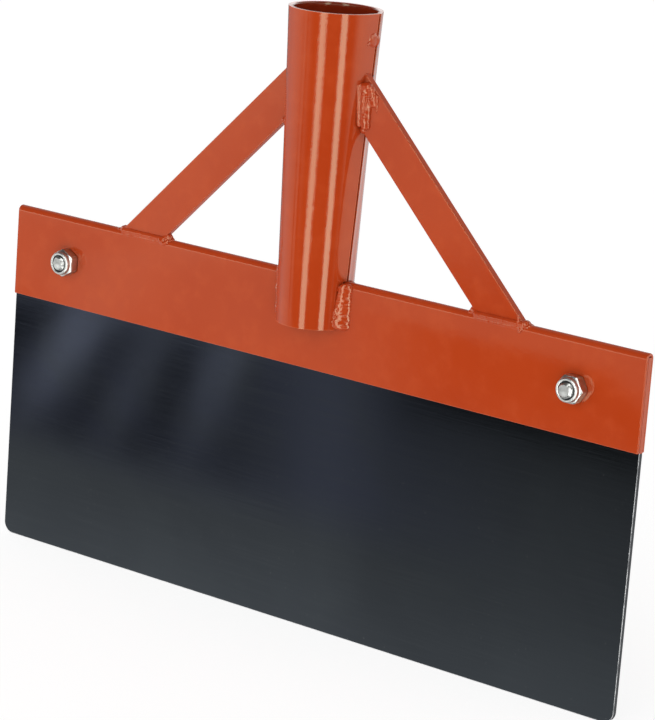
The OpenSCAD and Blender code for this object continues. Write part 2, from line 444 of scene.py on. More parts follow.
def make_arris():
    """Bright line where the blade's corner is bare."""
    material, tree, pos = start_material("bare_arris")
    wear = tree.noise(tree.stretch(pos, (120, 120, 120)), scale=1.0, detail=3, rough=0.6)
    fine = tree.noise(pos, scale=1500, detail=2)
    colour = tree.mix(tree.rise(wear, start=0.30, end=0.62),
                      (0.11, 0.115, 0.12), (0.36, 0.365, 0.37))
    colour = tree.tint(colour, (0.20, 0.20, 0.21),
                       tree.rise(fine, start=0.5, end=0.75), amount=0.4)
    normal = tree.bump(fine, distance=0.000003)
    tree.principled(colour, 0.28 + fine * 0.2, normal, Metallic=1.0)
    return material


def make_zinc(name, tone):
    """Zinc plate; tone scales its brightness."""
    material, tree, pos = start_material(name)
    speckle = tree.noise(pos, scale=900, detail=3, rough=0.6)
    cloud = tree.noise(pos, scale=260, detail=2)
    scratch = tree.noise(tree.stretch(pos, (300, 2600, 300)), scale=1.0, detail=2, rough=0.6)
    colour = tree.mix(tree.rise(cloud, start=0.3, end=0.7),
                      scaled((0.70, 0.71, 0.68), tone * 0.92),
                      scaled((0.80, 0.82, 0.79), tone))
    colour = tree.tint(colour, scaled((0.58, 0.60, 0.62), tone),
                       tree.rise(speckle, start=0.55, end=0.8), amount=0.4)
    # painted shade: crevices of nut and bolt darkened towards near black
    colour = tree.painted_crevice_shade(colour, (0.05, 0.05, 0.052), amount=0.9, distance=0.0012)
    colour = tree.tint_edges(colour, (0.93, 0.93, 0.92), amount=0.6, radius=0.0003,
                             start=0.02, end=0.25)
    roughness = 0.20 + (speckle * 0.12 + scratch * 0.08)
    normal = tree.bump(scratch, distance=0.000003)
    normal = tree.bump(cloud, distance=0.000012, normal=normal)
    tree.principled(colour, roughness, normal, Metallic=1.0)
    return material


def make_nylon():
    material, tree, pos = start_material("nylon_insert")
    mottle = tree.noise(pos, scale=700, detail=2)
    colour = tree.mix(mottle, (0.010, 0.012, 0.014), (0.030, 0.034, 0.038))
    normal = tree.bump(mottle, distance=0.00004, strength=0.3)
    tree.principled(colour, 0.42 + mottle * 0.2, normal)
    return material


ENAMEL = {"base": srgb(186, 65, 24), "dark": srgb(181, 61, 22), "light": srgb(196, 76, 34)}
paint = make_paint("paint_gloss", **ENAMEL)
paint_socket = make_paint("paint_gloss_socket", **ENAMEL, wave=3.2)
paint_weld = make_paint("paint_weld", base=srgb(186, 65, 24), dark=srgb(176, 57, 20),
                        light=srgb(198, 78, 36), peel=0.4, wave=0.5, shade=0.35)
# painted shade: a darker copy of the enamel for the inside of the bore
paint_bore_shade = make_paint("paint_gloss_bore_shade", base=srgb(138, 42, 17), dark=srgb(128, 38, 15),
                         light=srgb(150, 50, 22), wave=3.2, shade=0.5, ior=1.40)
blued = make_blade_steel()
sheared = make_sheared_edge()
arris = make_arris()
zinc = make_zinc("zinc_plate", tone=0.74)
zinc_bolt = make_zinc("zinc_bolt", tone=0.64)
nylon = make_nylon()


# ---------------------------------------------------------------- blade and holder
def build_blade():
    r = BLADE_CORNER_R
    left, right = blade_lo[0], blade_hi[0]
    top = blade_hi[2] + 0.7               # a little further into the fold
    outline = arc(left + r, r, r, 180, 270, 14) + arc(right - r, r, r, 270, 360, 14)
    outline += [(right, HOLDER_Z0), (right, top), (left, top), (left, HOLDER_Z0)]
    blade = prism("blade_plate", outline, "y", -BLADE_T / 2, BLADE_T / 2)
    cut_bolt_holes(blade, reach=5)
    bevel(blade, width=0.22, segments=2, angle=50)
    place(blade, "blade", "blued_steel", blued, sheared, arris, paint)
    for face in blade.data.polygons:
        facing = abs(face.normal.y)
        if facing > 0.97:
            face.material_index = 0
        elif face.center.z > (HOLDER_Z0 + 0.2) * MM:
            face.material_index = 3       # edges inside the holder are painted with it
        else:
            face.material_index = 2 if facing > 0.12 else 1


def build_holder():
    """Sheet folded over the blade's top: outer skin up and over, inner skin back."""
    outer, inner = HALF_T, BLADE_T / 2

    def fold(radius, direction, steps):
        angles = [math.pi * k / steps for k in range(steps + 1)]
        return [(direction * radius * math.cos(a), FOLD_Z + radius * math.sin(a))
                for a in angles]

    outline = [(-outer, HOLDER_Z0)] + fold(outer, -1, 28) + [(outer, HOLDER_Z0)]
    outline += [(inner, HOLDER_Z0)] + fold(inner, 1, 16) + [(-inner, HOLDER_Z0)]
    holder = prism("holder_sheet", outline, "x", holder_lo[0], holder_hi[0])
    cut_bolt_holes(holder, reach=8)
    bevel(holder, width=0.46, segments=4, angle=45)
    place(holder, "blade_holder", "paint", paint)


build_blade()
build_holder()

# ---------------------------------------------------------------- socket
SLOT_TOP = HOLDER_Z1 + 0.05               # the socket's foot is slotted over the holder
SEAM_HALF_GAP = 0.25
LIP_R = 0.60                              # rounding of the mouth's inner edge
LIP_DEPTHS = (0.60, 0.48, 0.36, 0.24, 0.14, 0.06, 0.02)
# Columns round the tube: seam to slot, front or back wall, left slot, wall, slot to seam
COLUMN_COUNTS = (4, 56, 5, 56, 4)
IN_SLOT = [part in (0, 2, 4) for part, count in enumerate(COLUMN_COUNTS)
           for _ in range(count)]


def socket_rows():
    rows = list(np.linspace(SOCKET_Z0, SLOT_TOP, 9))
    rows += list(np.linspace(SLOT_TOP, SOCKET_Z1, 47))[1:]
    rows = [z for z in rows if z < SOCKET_Z1 - 0.9]
    return rows + [SOCKET_Z1 - depth for depth in LIP_DEPTHS] + [SOCKET_Z1]


def column_angles(z, seam):
    """Angles round the tube from +X, from one lip of the seam round to the other."""
    gap = SEAM_HALF_GAP / socket_r(z)
    slot = math.asin(HALF_T / socket_r(z))
    # above the slot, the first column group shifts clear of the seam
    up = max(0.0, min(1.0, (z - SLOT_TOP) / 25.0))
    up = up * up * (3 - 2 * up)
    first = slot + up * (max(slot, seam + math.radians(7)) - slot)
    keys = [seam + gap, first, math.pi - slot, math.pi + slot, 2 * math.pi - slot,
            2 * math.pi + seam - gap]
    angles = [keys[0]]
    for k, count in enumerate(COLUMN_COUNTS):
        angles += [keys[k] + (keys[k + 1] - keys[k]) * j / count for j in range(1, count + 1)]
    return angles


def out_of_round(angle, z, seam):
    """Factor on the radius: the sheet's edges stand off at the seam, and the roll wavers."""
    d = (angle - seam + math.pi) % (2 * math.pi) - math.pi
    slope, reach = (math.radians(a) for a in ((25, 17) if d > 0 else (15, 15)))
    lift = 1.0 + slope * max(0.0, reach - abs(d)) ** 2 / (2 * reach)
    waver = (1 + 0.0035 * math.sin(2 * angle + 0.6 + (z - 190) * 0.035)
             + 0.0012 * math.sin(3 * angle - 0.4 + z * 0.05))
    return lift, waver


def build_socket():
    rows = socket_rows()
    outer, inner = [], []
    for z in rows:
        r = socket_r(z)
        seam = math.asin(seam_y(z) / r)
        lip = max(0.0, z - (SOCKET_Z1 - LIP_R))
        for a in column_angles(z, seam):
            lift, waver = out_of_round(a, z, seam)
            ro = r * lift * waver
            ri = (r - WALL) * lift * waver
            ri += LIP_R - math.sqrt(max(0.0, LIP_R ** 2 - lip ** 2))
            outer.append((SOCKET_X + ro * math.cos(a), ro * math.sin(a), z))
            inner.append((SOCKET_X + ri * math.cos(a), ri * math.sin(a), z))
    cells_up, cells_round = len(rows) - 1, len(IN_SLOT)

    def solid(i, j):
        return (0 <= i < cells_up and 0 <= j < cells_round
                and not (IN_SLOT[j] and rows[i + 1] <= SLOT_TOP + 1e-6))

    def index(cell, layer):
        return layer * len(outer) + cell[0] * (cells_round + 1) + cell[1]

    faces = []
    for i in range(cells_up):
        for j in range(cells_round):
            if not solid(i, j):
                continue
            ring = [(i, j), (i, j + 1), (i + 1, j + 1), (i + 1, j)]
            faces.append(tuple(index(c, 0) for c in ring))
            faces.append(tuple(index(c, 1) for c in ring[::-1]))
            # close the sheet's thickness wherever the neighbour is missing
            neighbours = ((i - 1, j), (i, j + 1), (i + 1, j), (i, j - 1))
            for p, q, cell in zip(ring, ring[1:] + ring[:1], neighbours):
                if not solid(*cell):
                    faces.append((index(q, 0), index(p, 0), index(p, 1), index(q, 1)))
    socket = mesh_object("socket_tube", outer + inner, faces)
    with cleaning(socket) as bm:
        loose = [v for v in bm.verts if not v.link_faces]
        bmesh.ops.delete(bm, geom=loose, context="VERTS")
    bevel(socket, width=0.42, segments=4, angle=48)
    place(socket, "handle_socket", "paint", paint_socket, paint_bore_shade)
    for face in socket.data.polygons:
        radial = Vector((face.center.x - SOCKET_X * MM, face.center.y, 0))
        if face.normal.dot(radial) < -0.5 * radial.length:
            face.material_index = 1       # painted shade: the darker copy of the paint inside the bore


build_socket()


# ---------------------------------------------------------------- braces
def build_brace(side_name, side):
    low_x, high_x = LOW_R - 1.1, HIGH_R - 1.1       # ends sunk into the socket wall
    outline = [(FOOT_IN, HOLDER_Z1), (FOOT_OUT, HOLDER_Z1),
               (high_x, BRACE_HIGH - high_x), (low_x, BRACE_LOW - low_x)]
    brace = prism("brace_bar_" + side_name, [(SOCKET_X + side * x, z) for x, z in outline],
                  "y", -BRACE_T / 2, BRACE_T / 2)
    bevel(brace, width=0.42, segments=4, angle=30)
    place(brace, "brace_" + side_name, "paint", paint)


for side_name, side in SIDES:
    build_brace(side_name, side)


# ---------------------------------------------------------------- nuts, inserts, bolts
def hex_r(phi):
    """Radius of a hexagon at an angle, its corners slightly eased."""
    sharpness = 9
    p = (phi + math.pi / 6) % (math.pi / 3) - math.pi / 6
    flat = FLATS / 2 / math.cos(p)
    corner = FLATS / math.sqrt(3) - 0.35 * 0.45
    if flat <= corner - 0.5:
        return flat
    both = math.exp(-flat * sharpness) + math.exp(-(corner + 0.02) * sharpness)
    return -math.log(both) / sharpness


def hex_inset(inset):
    return lambda phi: hex_r(phi) - inset


def chamfer(phi, start, inset=0.0):
    """Fall of a 30 degree chamfer that starts at a radius."""
    return max(0.0, hex_r(phi) - inset - start) * CHAMFER


def turned(name, rings, count, side, base, outward, turn, closed):
    """Surface round a bolt axis from rings of (radius, height); either may vary with angle.

    Heights run along y from base, in the outward direction (-1 or 1).
    """
    points, faces = [], []
    for radius, height in rings:
        for k in range(count):
            phi = 2 * math.pi * k / count
            r = radius(phi) if callable(radius) else radius
            h = height(phi) if callable(height) else height
            a = phi + turn
            points.append((side * BOLT_X + r * math.cos(a), base + outward * h,
                           BOLT_Z + r * math.sin(a)))
    for i in range(len(rings) if closed else len(rings) - 1):
        j = (i + 1) % len(rings)
        for k in range(count):
            n = (k + 1) % count
            faces.append((i * count + k, i * count + n, j * count + n, j * count + k))
    return mesh_object(name, points, faces)


def build_nut(side_name, side, turn):
    start = FLATS / 2 - 0.12
    ease = 0.10

    def top(phi, inset=0.0):
        return NUT_HEX_H - chamfer(phi, start, inset)

    def bottom(phi, inset=0.0):
        return chamfer(phi, start, inset)

    rings = [
        # bore and foot
        (3.0, 0.25), (3.25, 0.0), (4.3, 0.0), (FLATS / 2 - 0.22, 0.0),
        # hexagon, chamfered at both ends
        (hex_inset(ease), lambda p: bottom(p, ease)),
        (hex_inset(0.02), lambda p: bottom(p) + 0.05),
        (hex_r, lambda p: bottom(p) + 0.16),
        (hex_r, lambda p: (top(p) + bottom(p)) / 2),
        (hex_r, lambda p: top(p) - 0.16),
        (hex_inset(0.02), lambda p: top(p) - 0.05),
        (hex_inset(ease), lambda p: top(p, ease)),
        # shoulder and collar, rolled inwards over the insert
        (FLATS / 2 - 0.18, NUT_HEX_H - 0.01), (4.78, NUT_HEX_H), (4.64, NUT_HEX_H + 0.06),
        (4.60, NUT_HEX_H + 0.20), (4.60, NUT_H - 0.85), (4.55, NUT_H - 0.55),
        (4.44, NUT_H - 0.28), (4.28, NUT_H - 0.10), (4.10, NUT_H - 0.02), (3.90, NUT_H),
        (3.62, NUT_H - 0.02), (3.46, NUT_H - 0.12), (3.42, NUT_H - 0.28),
        (3.50, NUT_H - 0.42), (3.95, NUT_H - 0.46),
        # seat of the insert, back to the bore
        (3.95, NUT_HEX_H + 0.10), (3.2, NUT_HEX_H + 0.10), (3.0, NUT_HEX_H - 0.1),
    ]
    nut = turned("lock_nut_" + side_name, rings, 96, side, -HALF_T, -1, turn, closed=True)
    merge_doubles(nut)
    soften(nut, angle=42)
    place(nut, "nut_" + side_name, "zinc", zinc)


def build_insert(side_name, side):
    low, high = NUT_HEX_H + 0.1, NUT_H - 0.5
    rings = [(2.97, low), (3.9, low), (3.95, low + 0.1), (3.95, high - 0.1), (3.85, high),
             (3.4, high + 0.04), (3.12, high - 0.02), (3.0, high - 0.18)]
    insert = turned("nylon_ring_" + side_name, rings, 72, side, -HALF_T, -1, 0, closed=True)
    merge_doubles(insert)
    soften(insert, angle=40)
    place(insert, "nut_insert_" + side_name, "nylon", nylon)


def build_bolt(side_name, side, turn):
    """Hexagon head on the back, one closed surface with a helical thread to the tip."""
    head_y = bolt_hi[1]
    tip = cad_box("bolt_" + side_name)[0][1]
    start = FLATS / 2 - 0.1
    pitch, depth, tip_chamfer, steps = 1.0, 0.56, 0.75, 150

    def top(phi, inset=0.0):
        return head_y - chamfer(phi, start, inset)

    def thread_ring(y):
        def radius(phi):
            cycle = (-y / pitch - phi / (2 * math.pi)) % 1.0
            tooth = abs(cycle * 2 - 1)                      # 1 at the crest
            tooth = min(1.0, max(0.0, (tooth - 0.10) / 0.76))
            return min(BOLT_R - depth * (1 - tooth), BOLT_R - tip_chamfer + (y - tip))
        return radius, y

    rings = [
        # dished head
        (0.0, head_y - 0.12), (1.5, head_y - 0.12), (3.3, head_y - 0.10), (3.6, head_y),
        (FLATS / 2 - 0.18, head_y - 0.005),
        # chamfer, flats and underside
        (hex_inset(0.1), lambda p: top(p, 0.1)),
        (hex_inset(0.02), lambda p: top(p) - 0.05),
        (hex_r, lambda p: top(p) - 0.16), (hex_r, HALF_T + 0.2),
        (hex_inset(0.12), HALF_T), (3.2, HALF_T), (BOLT_R, HALF_T - 0.2),
    ]
    thread_y = HALF_T - 0.3
    rings += [thread_ring(thread_y + (tip - thread_y) * i / steps) for i in range(steps + 1)]
    # slightly dished end
    rings += [(r, tip + dish) for r, dish in ((1.9, 0.0), (1.2, 0.04), (0.5, 0.10), (0.0, 0.14))]
    bolt = turned("hex_bolt_" + side_name, rings, 72, side, 0.0, 1, turn, closed=False)
    with cleaning(bolt) as bm:
        bmesh.ops.remove_doubles(bm, verts=bm.verts, dist=2e-6)
        bmesh.ops.dissolve_degenerate(bm, dist=1e-7, edges=bm.edges)
    soften(bolt, angle=40)
    place(bolt, "bolt_" + side_name, "zinc", zinc_bolt)


# how far each nut and bolt is turned about its axis, degrees
for (side_name, side), nut_turn, bolt_turn in zip(SIDES, (0, 30), (12, 41)):
    build_nut(side_name, side, math.radians(nut_turn))
    build_insert(side_name, side)
    build_bolt(side_name, side, math.radians(bolt_turn))


# ---------------------------------------------------------------- weld beads
def weld(node, blobs, voxel, smooth, rough, seed):
    """Fuse blobs, ellipsoids of (centre, radii[, rotation]), into one painted bead."""
    name = "bead_" + node[5:]
    bm = bmesh.new()
    for centre, radii, *turn in blobs:
        rotation = turn[0].to_4x4() if turn else Matrix.Identity(4)
        matrix = Matrix.Translation(Vector(centre)) @ rotation @ Matrix.Diagonal((*radii, 1))
        bmesh.ops.create_icosphere(bm, subdivisions=3, radius=1.0, matrix=matrix)
    mesh = bpy.data.meshes.new(name)
    bm.to_mesh(mesh)
    bm.free()
    bead = add_object(name, mesh)
    # in millimetres here, brought to metres once it is finished
    skin = bead.modifiers.new("skin", "REMESH")
    skin.mode = "VOXEL"
    skin.voxel_size = voxel
    skin.use_smooth_shade = True
    melt = bead.modifiers.new("melt", "SMOOTH")
    melt.factor = 0.5
    melt.iterations = smooth
    apply_modifiers(bead)
    mesh = bead.data
    coords = np.zeros(len(mesh.vertices) * 3)
    normals = np.zeros(len(mesh.vertices) * 3)
    mesh.vertices.foreach_get("co", coords)
    mesh.vertices.foreach_get("normal", normals)
    coords, normals = coords.reshape(-1, 3), normals.reshape(-1, 3)
    shift = Vector((seed * 7.3, seed * 3.1, seed * 5.7))
    relief = np.array([rough * (noise.noise(Vector(p) * 0.85 + shift)
                                + 0.45 * noise.noise(Vector(p) * 2.1 + shift))
                       for p in coords])
    coords = (coords + normals * relief[:, None]) * MM
    mesh.vertices.foreach_set("co", coords.ravel())
    mesh.update()
    soften(bead, angle=180)
    place(bead, node, "paint", paint_weld)


def jittered(point, rng, jitter):
    return point + Vector([rng.uniform(-jitter, jitter) for _ in range(3)])


def run(start, end, radius, count, jitter, rng):
    """A row of overlapping puddles, the way a bead is laid."""
    start, end = Vector(start), Vector(end)
    rotation = (end - start).normalized().to_track_quat("Z", "Y").to_matrix()
    blobs = []
    for k in range(count):
        centre = jittered(start.lerp(end, k / (count - 1)), rng, jitter)
        r = radius * (1 + rng.uniform(-0.13, 0.13))
        blobs.append((centre, (r, r, r * 1.15), rotation))
    return blobs


def ridges(rows, rng):
    """Overlapping flattened puddles along paths.

    Each row: path, radii at the start and at the end, count, turn about the upright axis
    in degrees, jitter of place, variation of size.
    """
    blobs = []
    for path, start_radii, end_radii, count, turn, jitter, vary in rows:
        path = [Vector(p) for p in path]
        lengths = [(q - p).length for p, q in zip(path, path[1:])]
        for k in range(count):
            part = k / (count - 1)
            along = sum(lengths) * k / (count - 1)
            i = 0
            while i < len(lengths) - 1 and along > lengths[i]:
                along -= lengths[i]
                i += 1
            on_path = path[i].lerp(path[i + 1], min(1.0, along / lengths[i]))
            centre = jittered(on_path, rng, jitter)
            size = 1 + rng.uniform(-vary, vary)
            radii = tuple((a + (b - a) * part) * size for a, b in zip(start_radii, end_radii))
            angle = math.radians(turn + rng.uniform(-6, 6))
            blobs.append((centre, radii, Matrix.Rotation(angle, 3, "Z")))
    return blobs


def wide_fillet(at, low, high, rng):
    """A wide, flat fillet with a few laid-over ridges at its lower left."""
    return ridges([
        ([at(low + 0.9), at(low + 8, 0.1), at(high - 1.0, 0.7)],
         (3.9, 1.5, 1.8), (2.8, 1.35, 1.8), 26, 30, 0.05, 0.025),
        ([at(low + 0.6, -3.3, -2.0), at(low + 5.4, -1.9, -1.6)],
         (1.0, 0.70, 1.1), (0.8, 0.65, 1.1), 8, 40, 0.05, 0.05),
        ([at(low + 4.6, -2.9, -1.9), at(low + 9.4, -0.9, -1.35)],
         (0.7, 0.55, 0.9), (0.7, 0.55, 0.9), 8, 40, 0.05, 0.05),
        ([at(low + 0.2, -4.3, -2.9), at(low + 3.0, -4.2, -2.8)],
         (0.6, 0.5, 0.8), (0.5, 0.5, 0.8), 5, 40, 0.04, 0.04),
        ([at(low + 0.4, -1.5, -1.5), at(low + 3.4, -1.1, -1.45)],
         (0.55, 0.45, 0.9), (0.45, 0.4, 0.8), 5, 30, 0.05, 0.05),
    ], rng) + [(at(low + 10.2, -0.3, -1.25), (0.6, 0.5, 0.6)),
               (at(high - 1.6, -1.0, -0.9), (1.9, 0.9, 1.5))]


def weld_holder(face, side, corner):
    """Foot of the socket to a face of the holder."""
    rng = random.Random(11 + face * 3 + side)
    node = "weld_holder_" + corner
    y = face * (HALF_T + 0.1)
    low, high = SOCKET_Z0 + 1.2, HOLDER_Z1 - (0.9 if face < 0 else 3.0)

    def edge_x(z):
        return SOCKET_X + side * (math.sqrt(socket_r(z) ** 2 - HALF_T ** 2) + 0.1)

    def at(z, dx=0.0, dy=0.0):
        return edge_x(z) + 1.6 + dx, y - 0.75 + dy, z

    if corner == "front_right":
        blobs = wide_fillet(at, low, high, rng)
        weld(node, blobs, voxel=0.17, smooth=7, rough=0.02, seed=3)
    elif corner == "front_left":
        blobs = run((edge_x(low) - 0.2, y, low + 0.6), (edge_x(high) - 0.2, y, high),
                    radius=2.0, count=12, jitter=0.08, rng=rng)
        weld(node, blobs, voxel=0.22, smooth=8, rough=0.04, seed=5)
    else:
        blobs = run((edge_x(low), y, low), (edge_x(high), y, high),
                    radius=2.3, count=9, jitter=0.22, rng=rng)
        weld(node, blobs, voxel=0.22, smooth=3, rough=0.16, seed=7 + side)


def double_pass(at, low, high, rng):
    """A heavy bead down the corner, and a second, lower pass lying on the bar."""
    blobs = ridges([
        ([at(high - 4.6, 1.6, -0.75), at(high - 9, 1.8, -0.75), at(low + 1.2, 2.8, -0.5)],
         (2.6, 1.35, 1.5), (1.9, 1.05, 1.5), 26, 24, 0.05, 0.03),
    ], rng)
    blobs.append((at(high - 4.6, 1.6, -1.1), (2.7, 1.35, 1.5)))
    blobs += ridges([
        ([at(high - 5.2, -0.25, -1.6), at(low + 2.0, 0.5, -1.1)],
         (0.75, 1.8, 1.5), (0.65, 1.3, 1.5), 22, -20, 0.03, 0.03),
        ([at(high - 5.4, 3.8, -0.35), at(high - 10.8, 5.0, -0.05)],
         (1.5, 1.0, 1.2), (1.8, 0.7, 1.2), 12, 8, 0.05, 0.04),
        ([at(high - 7.9, 6.3, 0.0), at(high - 13.0, 6.9, 0.2)],
         (0.8, 0.75, 0.9), (0.5, 0.45, 0.9), 12, 0, 0.05, 0.05),
        ([at(high - 9.0, 2.9, -1.65), at(high - 14.8, 2.7, -1.35)],
         (0.5, 0.45, 0.8), (0.4, 0.4, 0.8), 8, 0, 0.07, 0.06),
        ([at(high - 9.8, 1.4, -2.05), at(high - 13.2, 1.7, -1.9)],
         (0.45, 0.4, 0.8), (0.4, 0.4, 0.8), 6, 0, 0.07, 0.06),
    ], rng)
    return blobs + [(at(high - 8.8, 4.4, -0.95), (0.7, 0.6, 0.65)),
                    (at(high - 7.4, 1.5, -2.25), (0.55, 0.5, 0.7)),
                    (at(low + 4.6, 2.6, -1.65), (0.5, 0.45, 0.55)),
                    (at(low - 0.6, 1.2, 1.2), (1.8, 1.7, 1.5))]


def weld_socket_brace(face, side, corner):
    """Side of the socket to a brace."""
    rng = random.Random(31 + face * 5 + side)
    node = "weld_socket_brace_" + corner
    low, high = BRACE_LOW - LOW_R, BRACE_HIGH - HIGH_R
    y = face * (BRACE_T / 2 + 0.1)

    def at(z, dx=0.0, dy=0.0):
        return SOCKET_X + side * (socket_r(z) + 0.1) + dx, y + dy, z

    if corner == "front_right":
        blobs = double_pass(at, low, high, rng)
        weld(node, blobs, voxel=0.17, smooth=3, rough=0.02, seed=11)
    elif corner == "front_left":
        low_x, high_x = at(low)[0], at(high)[0]
        blobs = run((low_x - 0.2, y + 0.1, low - 0.3), (high_x + 0.2, y + 0.1, high - 1.0),
                    radius=1.45, count=14, jitter=0.08, rng=rng)
        blobs += run((low_x, y + 0.2, low), (low_x - 2.6, y + 0.3, low - 2.2),
                     radius=1.1, count=5, jitter=0.08, rng=rng)
        blobs += [((low_x - 3.0, y - 0.1, low - 2.7), (1.15, 0.85, 1.25)),
                  ((low_x - 1.5, 0, low - 1.5), (1.6, 1.3, 1.5))]
        weld(node, blobs, voxel=0.20, smooth=4, rough=0.05, seed=13)
    else:
        blobs = run(at(low), (at(high - 4)[0], y, high - 4.5),
                    radius=2.0, count=11, jitter=0.22, rng=rng)
        weld(node, blobs, voxel=0.22, smooth=3, rough=0.16, seed=17 + side)


def weld_foot(face, side, corner):
    """Foot of a brace to the top of the holder."""
    rng = random.Random(51 + face * 5 + side)
    node = "weld_foot_" + corner
    near, far = FOOT_IN, FOOT_OUT
    y = face * 0.45

    def at(distance, y, dz):
        return SOCKET_X + side * distance, y, HOLDER_Z1 + dz

    blobs = ridges([
        ([at(near + 0.2, face * 1.05, -0.35), at(far - 0.6, face * 1.05, -0.35)],
         (1.6, 1.45, 1.45), (1.6, 1.45, 1.45), 18, 0, 0.04, 0.03),
        ([at(near + 0.5, face * 1.35, -1.9), at(far - 1.0, face * 1.35, -1.7)],
         (1.6, 1.0, 1.3), (1.6, 1.0, 1.4), 16, 0, 0.04, 0.03),
    ], rng)
    blobs += [(at(near - 0.9, y, 0.5), (2.3, 1.3, 1.9)),
              (at(near - 2.2, face * 0.48, -0.5), (2.1, 1.22, 1.2)),
              (at(far + 0.1, y, 0.1), (1.5, 1.25, 1.3)),
              (at(far + 1.6, y, -0.6), (1.8, 1.2, 0.95))]
    if corner == "front_left":
        path = [at(near + 0.9, -2.15, -0.9), at(near - 1.0, -2.25, -1.9),
                at(near - 2.6, -1.9, -0.6)]
        blobs += ridges([(path, (0.75, 0.6, 0.75), (0.7, 0.6, 0.7), 6, 0, 0.08, 0.10)], rng)
        weld(node, blobs, voxel=0.20, smooth=5, rough=0.05, seed=21)
    elif corner == "front_right":
        path = [at(far - 2.6, -1.75, 2.6), at(far - 2.4, -1.9, 0.4),
                at(far - 0.6, -2.25, -1.6), at(far - 1.3, -2.2, -2.8)]
        blobs += ridges([(path, (0.55, 0.45, 0.7), (0.75, 0.6, 0.7), 8, 0, 0.10, 0.10)], rng)
        blobs.append((at(far + 1.2, -1.7, -1.0), (0.9, 0.6, 0.6)))
        weld(node, blobs, voxel=0.20, smooth=5, rough=0.03, seed=23)
    else:
        weld(node, blobs, voxel=0.22, smooth=4, rough=0.14, seed=25 + side)


def weld_seam_tack():
    """Tack across the seam, near the mouth."""
    z = SOCKET_Z1 - 9.6

    def surface_x(y):
        return SOCKET_X + math.sqrt(socket_r(z) ** 2 - y * y)

    seam = seam_y(z)
    blobs = [((surface_x(1.4) - 0.35, 1.4, z), (1.3, 3.0, 3.2)),
             ((surface_x(seam) + 0.1, seam + 0.6, z - 0.3), (1.2, 1.5, 2.4)),
             ((surface_x(-1.4) - 0.1, -1.5, z - 1.4), (0.55, 0.8, 0.9))]
    weld("weld_seam_tack", blobs, voxel=0.20, smooth=8, rough=0.05, seed=27)


for build_weld in (weld_holder, weld_socket_brace, weld_foot):
    for corner in CORNERS:
        build_weld(*corner)
weld_seam_tack()


# ---------------------------------------------------------------- floor
def build_floor():
    """Pale, glowing floor just under the blade, hidden from reflections."""
    bm = bmesh.new()
    bmesh.ops.create_grid(bm, x_segments=1, y_segments=1, size=30)
    mesh = bpy.data.meshes.new("floor")
    bm.to_mesh(mesh)
    bm.free()
    floor = add_object("floor", mesh)
    floor.location = (0, 0, -0.0003)
    floor.visible_glossy = False
    material = bpy.data.materials.new("floor_pale")
    tree = Tree(material)
    diffuse = tree.value("ShaderNodeBsdfDiffuse", {"Color": (0.40, 0.40, 0.40)})
    glow = tree.value("ShaderNodeEmission", {"Strength": 0.79})
    both = tree.value("ShaderNodeAddShader", {0: diffuse, 1: glow})
    tree.new("ShaderNodeOutputMaterial", {0: both})
    mesh.materials.append(material)
    material.cycles.emission_sampling = "NONE"


# ---------------------------------------------------------------- world
# Angles are in degrees. bearing runs from straight ahead (-Y), positive to the right;
# height is the angle above the horizon; slant is height, tilted along the bearing.
WALL_LEVELS = [   # (bearing, brightness)
    (-180, 1.05), (-163, 0.95), (-152, 0.30), (-143, 0.12), (-130, 0.16), (-112, 0.34),
    (-95, 0.50), (-83, 0.74), (-70, 0.88), (-56, 0.86), (-46, 0.70), (-34, 0.66),
    (-28, 0.55), (-21, 0.16), (-14, 0.0), (85, 0.0), (93, 0.5), (101, 1.1),
    (112, 1.25), (140, 1.15), (160, 1.1), (180, 1.05)]
SKIRT_LEVELS = [   # (slant, brightness)
    (-40, 0.15), (-30, 0.55), (-24, 1.1), (-20, 1.05), (-18.4, 0.85), (-17.2, 0.62),
    (-16.3, 0.53), (-15.4, 0.46), (-15.0, 0.40), (-14.5, 0.33), (-14.0, 0.24)]
SKIRT_EXTRA = [   # (slant, brightness)
    (-40, 0.2), (-18.4, 0.2), (-16.3, 0.17), (-15.9, 0.18), (-15.0, 0.27), (-14.0, 0.44)]
EXTRA_REACH = [(-42.6, 0.0), (-40.0, 0.05), (-38.9, 0.3), (-37.4, 0.8), (-36.9, 1.0)]
SKIRT_REACH = [(-43.5, 0.42), (-38.9, 0.42), (-37.4, 0.75), (-36.7, 1.0)]
FOLDS = [   # bearing, lean, width, [(slant, brightness)]
    (-40.65, 0.52, 0.34, [(-16.6, 0.0), (-15.9, 0.60), (-15.4, 1.05), (-15.0, 1.25),
                          (-14.15, 1.65), (-13.95, 0.60), (-12.0, 0.5)]),
    (-39.50, 0.37, 0.24, [(-16.5, 0.0), (-15.7, 0.60), (-14.15, 0.66), (-13.95, 0.08),
                          (-12.0, 0.05)]),
    (-38.20, 0.30, 0.24, [(-16.5, 0.0), (-16.0, 0.35), (-15.4, 0.62), (-14.8, 0.70),
                          (-14.15, 0.95), (-13.95, 0.18), (-12.0, 0.15)])]


def tent_walls(tree, bearing, slant):
    """Soft wall left and behind, a brighter one right, nothing in front."""
    wall = tree.ramp(bearing, WALL_LEVELS)
    # the left wall's front edge comes further back low down
    keep = tree.math("MAXIMUM", tree.fall(bearing, start=-36.6, end=-34.3),
                     tree.rise(bearing, start=-10.0, end=0.0))
    low = tree.fall(slant, start=-11.75, end=-11.35)
    return wall * ((1 - low) + low * keep)


def tent_skirt(tree, bearing, slant):
    skirt = tree.ramp(slant, SKIRT_LEVELS)
    extra = tree.ramp(slant, SKIRT_EXTRA)
    extra_reach = tree.math("MAXIMUM", tree.ramp(bearing, EXTRA_REACH),
                            tree.fall(slant, start=-16.8, end=-15.8))
    reach = tree.math("MAXIMUM", tree.ramp(bearing, SKIRT_REACH),
                      tree.fall(slant, start=-16.8, end=-15.7))
    return skirt * reach + extra * extra_reach * tree.fall(bearing, start=-36.6, end=-34.9)


